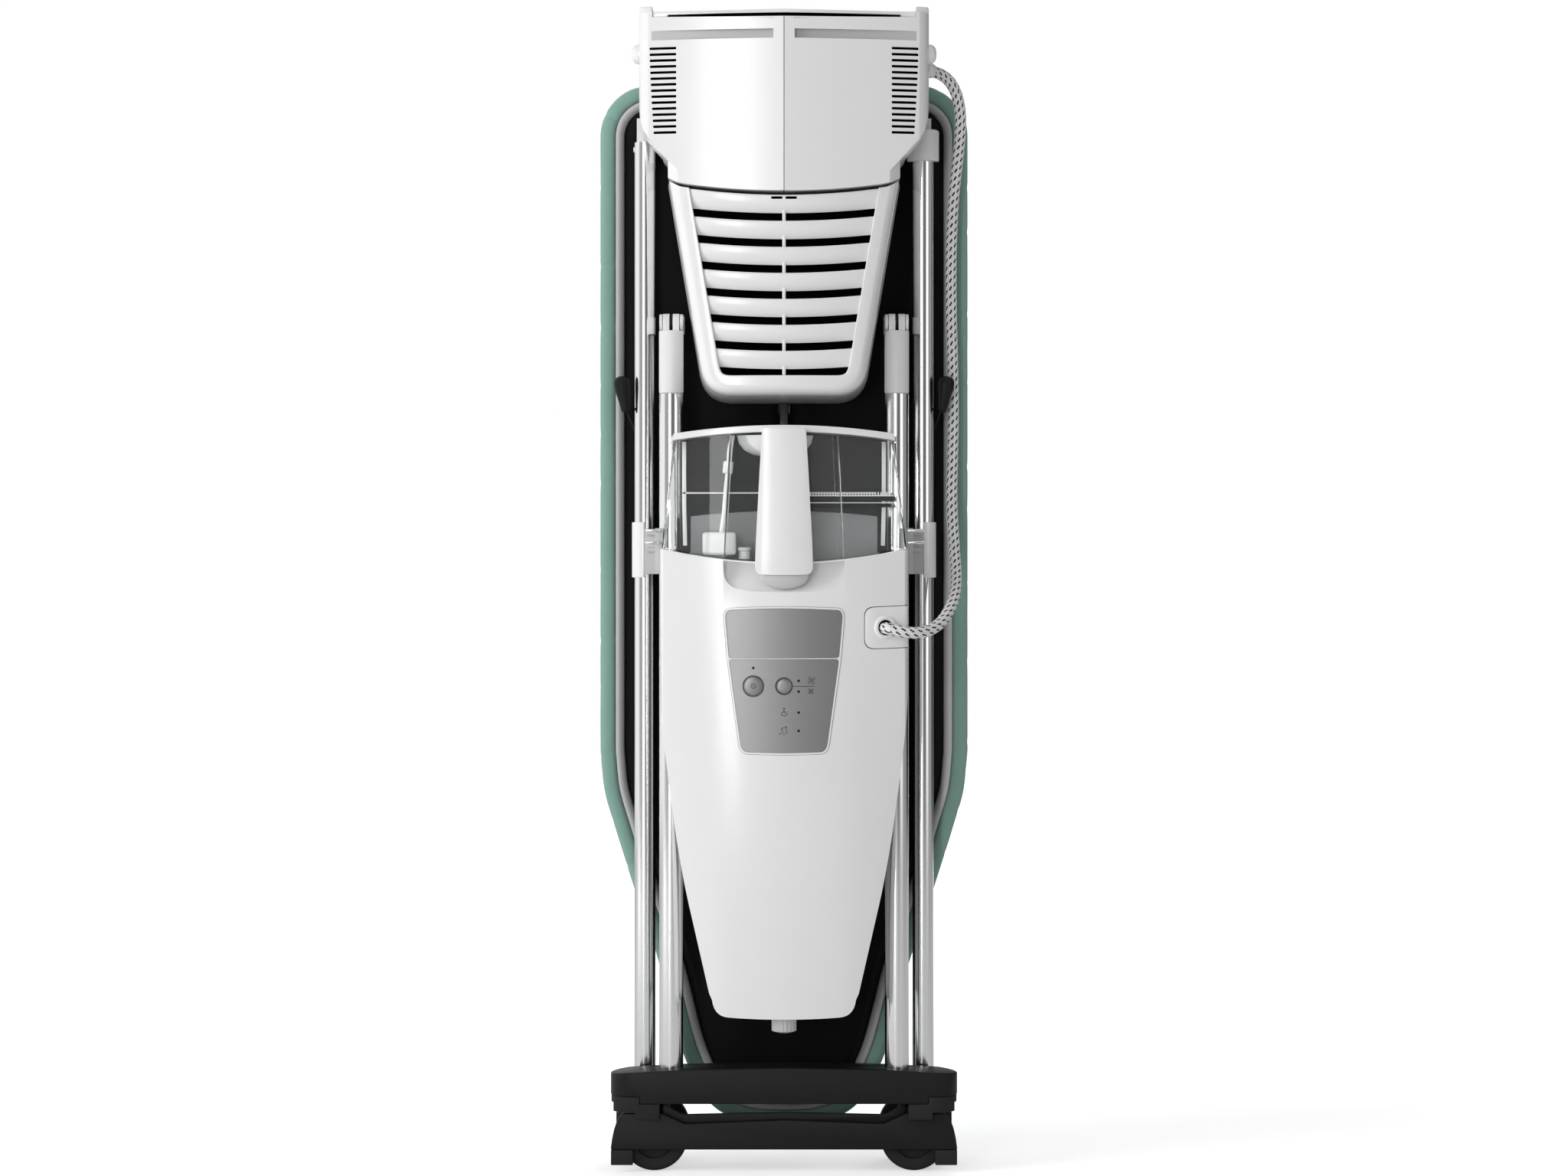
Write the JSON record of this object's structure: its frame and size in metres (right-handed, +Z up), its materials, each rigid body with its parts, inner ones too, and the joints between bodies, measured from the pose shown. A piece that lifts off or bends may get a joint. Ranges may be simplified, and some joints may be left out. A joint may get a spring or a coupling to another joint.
{
  "type": "vacuum ironing table",
  "caption": "Folding ironing table with a heated-board vacuum unit in its rear housing, a steam generator with water tank between its legs, and wheels to roll it away folded.",
  "frame": {"origin": "bottom centre of the folded table's bounding box, on the floor under the wheels", "axes": "+Z up, towards the rear housing; +X to the right seen from the generator's side; +Y towards the ironing face"},
  "size_m": [0.428, 0.2, 1.321],
  "materials": {
    "cover_cloth": "matt padded cotton cover",
    "foam": "open-cell foam felt",
    "perforated_steel": "expanded steel top",
    "rim_grey": "pale grey satin plastic",
    "black_pan": "black powder coat",
    "white_shell": "white moulded plastic",
    "black_plastic": "black moulded plastic",
    "grey_plastic": "mid grey moulded plastic",
    "chrome": "polished chrome tube",
    "wheel_rubber": "black rubber",
    "clear_tank": "clear smoked plastic",
    "steel": "plain steel",
    "motor_steel": "plain steel can",
    "brass": "plain brass",
    "circuit_green": "circuit card",
    "hose_braid": "grey braid with black marks"
  },
  "bodies": {
    "board": {"board_cover": "cover_cloth", "foam_pad": "foam", "mesh_top": "perforated_steel", "board_rim": "rim_grey", "underside_pan": "black_pan", "rear_shell_right": "white_shell", "rear_shell_left": "white_shell", "rear_top_cap": "white_shell", "iron_rest": "grey_plastic", "hose_inlet": "white_shell", "exhaust_grille": "white_shell", "fan_volute": "grey_plastic", "fan_motor": "motor_steel", "height_rail": "chrome", "outer_hinge_right": "white_shell", "outer_hinge_left": "white_shell", "inner_hinge_right": "white_shell", "inner_hinge_left": "white_shell", "steam_hose": "hose_braid"},
    "fan": {"fan_impeller": "grey_plastic"},
    "lever_right": {"release_lever_right": "black_plastic"},
    "lever_left": {"release_lever_left": "black_plastic"},
    "wheel_frame": {"outer_leg_right": "chrome", "outer_leg_left": "chrome", "leg_top_cap": "white_shell", "wheel_beam": "black_plastic", "wheel_pod_right": "black_plastic", "wheel_pod_left": "black_plastic", "rubber_foot_right": "wheel_rubber", "rubber_foot_left": "wheel_rubber"},
    "wheel_front_right": {"front_wheel_right": "wheel_rubber"},
    "wheel_front_left": {"front_wheel_left": "wheel_rubber"},
    "wheel_rear_right": {"rear_wheel_right": "wheel_rubber"},
    "wheel_rear_left": {"rear_wheel_left": "wheel_rubber"},
    "generator_frame": {"inner_leg_right": "chrome", "inner_leg_left": "chrome", "leg_sleeve_right": "white_shell", "leg_sleeve_left": "white_shell", "front_foot_bar": "black_plastic", "foot_pad_right": "wheel_rubber", "foot_pad_left": "wheel_rubber", "generator_front": "white_shell", "generator_back": "white_shell", "panel_upper": "grey_plastic", "panel_lower": "grey_plastic", "circuit_card": "circuit_green", "boiler": "steel", "heating_element": "brass", "pump": "grey_plastic", "hose_port": "white_shell", "leg_clip_right": "white_shell", "leg_clip_left": "white_shell", "side_bracket_right": "grey_plastic", "side_bracket_left": "grey_plastic"},
    "power_key": {"power_button": "grey_plastic"},
    "fan_key": {"fan_button": "grey_plastic"},
    "plug": {"drain_plug": "grey_plastic"},
    "tank": {"water_tank": "clear_tank", "tank_lid": "white_shell", "tank_handle": "white_shell"}
  },
  "joints": [
    {"name": "generator_fold", "type": "hinge", "parent": "board", "child": "generator_frame", "pos_m": [0, -0.015, 0.967], "axis": [-1, 0, 0], "range_deg": [0, 105], "deforming": ["steam_hose"]},
    {"name": "wheel_frame_fold", "type": "hinge", "parent": "board", "child": "wheel_frame", "pos_m": [0, 0.028, 1.17], "axis": [-1, 0, 0], "range_deg": [0, 48.8]},
    {"name": "fan_spin", "type": "hinge", "parent": "board", "child": "fan", "pos_m": [0, 0.02, 1.0064], "axis": [0, 1, 0], "continuous": true},
    {"name": "lever_right_pull", "type": "hinge", "parent": "board", "child": "lever_right", "pos_m": [0.169, 0.0442, 0.838], "axis": [1, 0, 0], "range_deg": [0, 12], "stiffness_Nm_per_rad": 0.6},
    {"name": "lever_left_pull", "type": "hinge", "parent": "board", "child": "lever_left", "pos_m": [-0.169, 0.0442, 0.838], "axis": [1, 0, 0], "range_deg": [0, 12], "stiffness_Nm_per_rad": 0.6},
    {"name": "wheel_front_right_roll", "type": "hinge", "parent": "wheel_frame", "child": "wheel_front_right", "pos_m": [0.148, -0.0185, 0.038], "axis": [0, 1, 0], "continuous": true},
    {"name": "wheel_front_left_roll", "type": "hinge", "parent": "wheel_frame", "child": "wheel_front_left", "pos_m": [-0.148, -0.0185, 0.038], "axis": [0, 1, 0], "continuous": true},
    {"name": "wheel_rear_right_roll", "type": "hinge", "parent": "wheel_frame", "child": "wheel_rear_right", "pos_m": [0.148, 0.0685, 0.038], "axis": [0, 1, 0], "continuous": true},
    {"name": "wheel_rear_left_roll", "type": "hinge", "parent": "wheel_frame", "child": "wheel_rear_left", "pos_m": [-0.148, 0.0685, 0.038], "axis": [0, 1, 0], "continuous": true},
    {"name": "power_press", "type": "slide", "parent": "generator_frame", "child": "power_key", "axis": [0, 1, 0], "range_m": [0, 0.0015], "stiffness_N_per_m": 600},
    {"name": "fan_press", "type": "slide", "parent": "generator_frame", "child": "fan_key", "axis": [0, 1, 0], "range_m": [0, 0.0015], "stiffness_N_per_m": 600},
    {"name": "plug_turn", "type": "hinge", "parent": "generator_frame", "child": "plug", "pos_m": [0, -0.062, 0.18], "axis": [0, 0, 1], "continuous": true},
    {"name": "tank_slide", "type": "slide", "parent": "generator_frame", "child": "tank", "axis": [0, -1, 0], "range_m": [0, 0.03]}
  ],
  "couplings": [
    {"joint": "wheel_frame_fold", "follows": "generator_fold", "ratio": 0.46}
  ]
}
